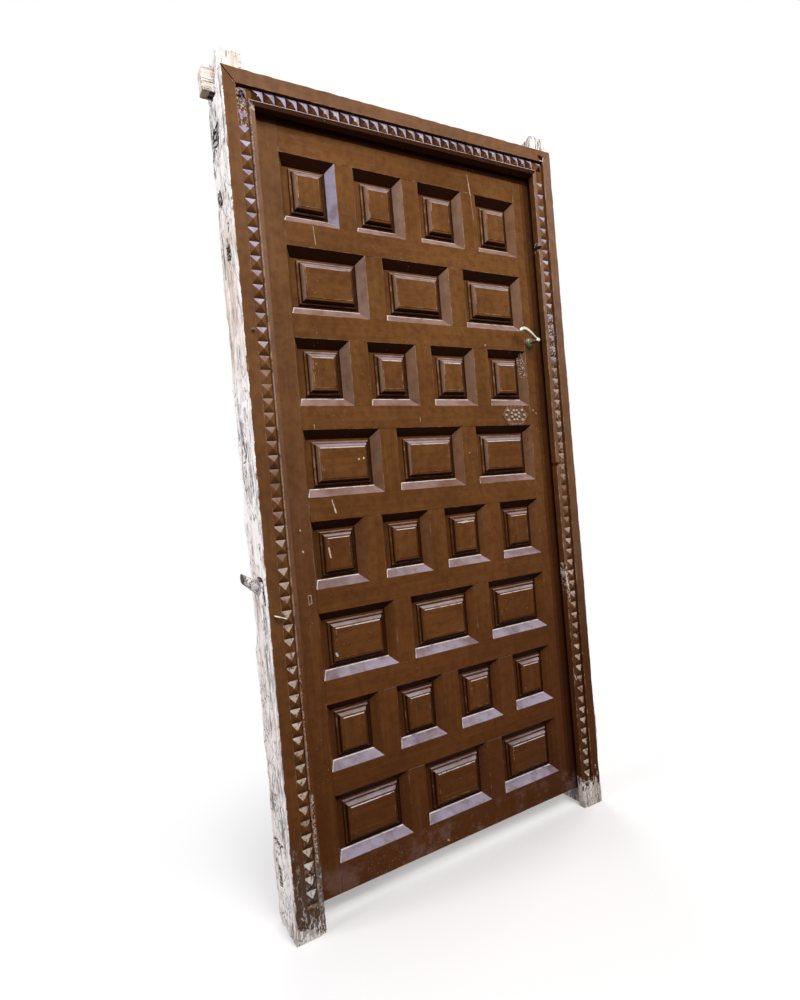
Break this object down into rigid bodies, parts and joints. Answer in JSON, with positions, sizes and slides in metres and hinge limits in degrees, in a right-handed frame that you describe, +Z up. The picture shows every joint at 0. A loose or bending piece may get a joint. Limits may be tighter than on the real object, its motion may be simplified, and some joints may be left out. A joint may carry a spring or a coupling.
{
  "type": "panelled wooden door with frame",
  "caption": "Panelled wooden door leaf hung on pintle hinges in a mitred frame carved with pyramids, with a lever that throws a bolt.",
  "frame": {"origin": "on the floor, midway between the jambs and in the middle of their depth", "axes": "+Z up, front with the deep bevels faces -Y, +X to the right seen from the front"},
  "size_m": [1.096, 0.145, 2.082],
  "materials": {
    "painted_wood": "glossy brown paint, worn at the feet",
    "bare_wood": "bare weathered wood",
    "brass": "worn brass",
    "iron": "dark wrought iron",
    "painted_iron": "painted over with the door"
  },
  "bodies": {
    "frame": {"left_jamb": "painted_wood", "right_jamb": "painted_wood", "head_beam": "painted_wood", "right_bead_lower": "painted_wood", "right_bead_middle": "painted_wood", "right_bead_upper": "painted_wood", "upper_hinge_pintle": "iron", "lower_hinge_pintle": "iron", "bolt_keeper": "iron", "wall_peg": "bare_wood", "upper_nail": "iron", "lower_bent_nail": "iron"},
    "leaf": {"hinge_stile": "painted_wood", "lever_stile": "painted_wood", "top_rail": "painted_wood", "rail_2": "painted_wood", "rail_3": "painted_wood", "rail_4": "painted_wood", "rail_5": "painted_wood", "rail_6": "painted_wood", "rail_7": "painted_wood", "rail_8": "painted_wood", "bottom_rail": "painted_wood", "panel_row1_1": "painted_wood", "panel_row1_2": "painted_wood", "panel_row1_3": "painted_wood", "panel_row1_4": "painted_wood", "panel_row2_1": "painted_wood", "panel_row2_2": "painted_wood", "panel_row2_3": "painted_wood", "panel_row3_1": "painted_wood", "panel_row3_2": "painted_wood", "panel_row3_3": "painted_wood", "panel_row3_4": "painted_wood", "panel_row4_1": "painted_wood", "panel_row4_2": "painted_wood", "panel_row4_3": "painted_wood", "panel_row5_1": "painted_wood", "panel_row5_2": "painted_wood", "panel_row5_3": "painted_wood", "panel_row5_4": "painted_wood", "panel_row6_1": "painted_wood", "panel_row6_2": "painted_wood", "panel_row6_3": "painted_wood", "panel_row7_1": "painted_wood", "panel_row7_2": "painted_wood", "panel_row7_3": "painted_wood", "panel_row7_4": "painted_wood", "panel_row8_1": "painted_wood", "panel_row8_2": "painted_wood", "panel_row8_3": "painted_wood", "upper_hinge_strap": "iron", "lower_hinge_strap": "iron", "outside_rose": "brass", "bolt_case": "iron", "six_sided_plate": "painted_iron"},
    "lever": {"outside_lever": "brass", "inside_lever": "brass", "bolt_follower": "iron"},
    "bolt": {"bolt": "iron"}
  },
  "joints": [
    {"name": "leaf_swing", "type": "hinge", "parent": "frame", "child": "leaf", "pos_m": [-0.44, 0.0345, 0.052], "axis": [0, 0, 1], "range_deg": [0, 100]},
    {"name": "lever_turn", "type": "hinge", "parent": "leaf", "child": "lever", "pos_m": [0.392, 0, 1.44985], "axis": [0, -1, 0], "range_deg": [0, 40]},
    {"name": "bolt_throw", "type": "slide", "parent": "leaf", "child": "bolt", "axis": [1, 0, 0], "range_m": [0, 0.0142]}
  ],
  "couplings": [
    {"joint": "bolt_throw", "follows": "lever_turn", "m_per_rad": 0.02034}
  ]
}
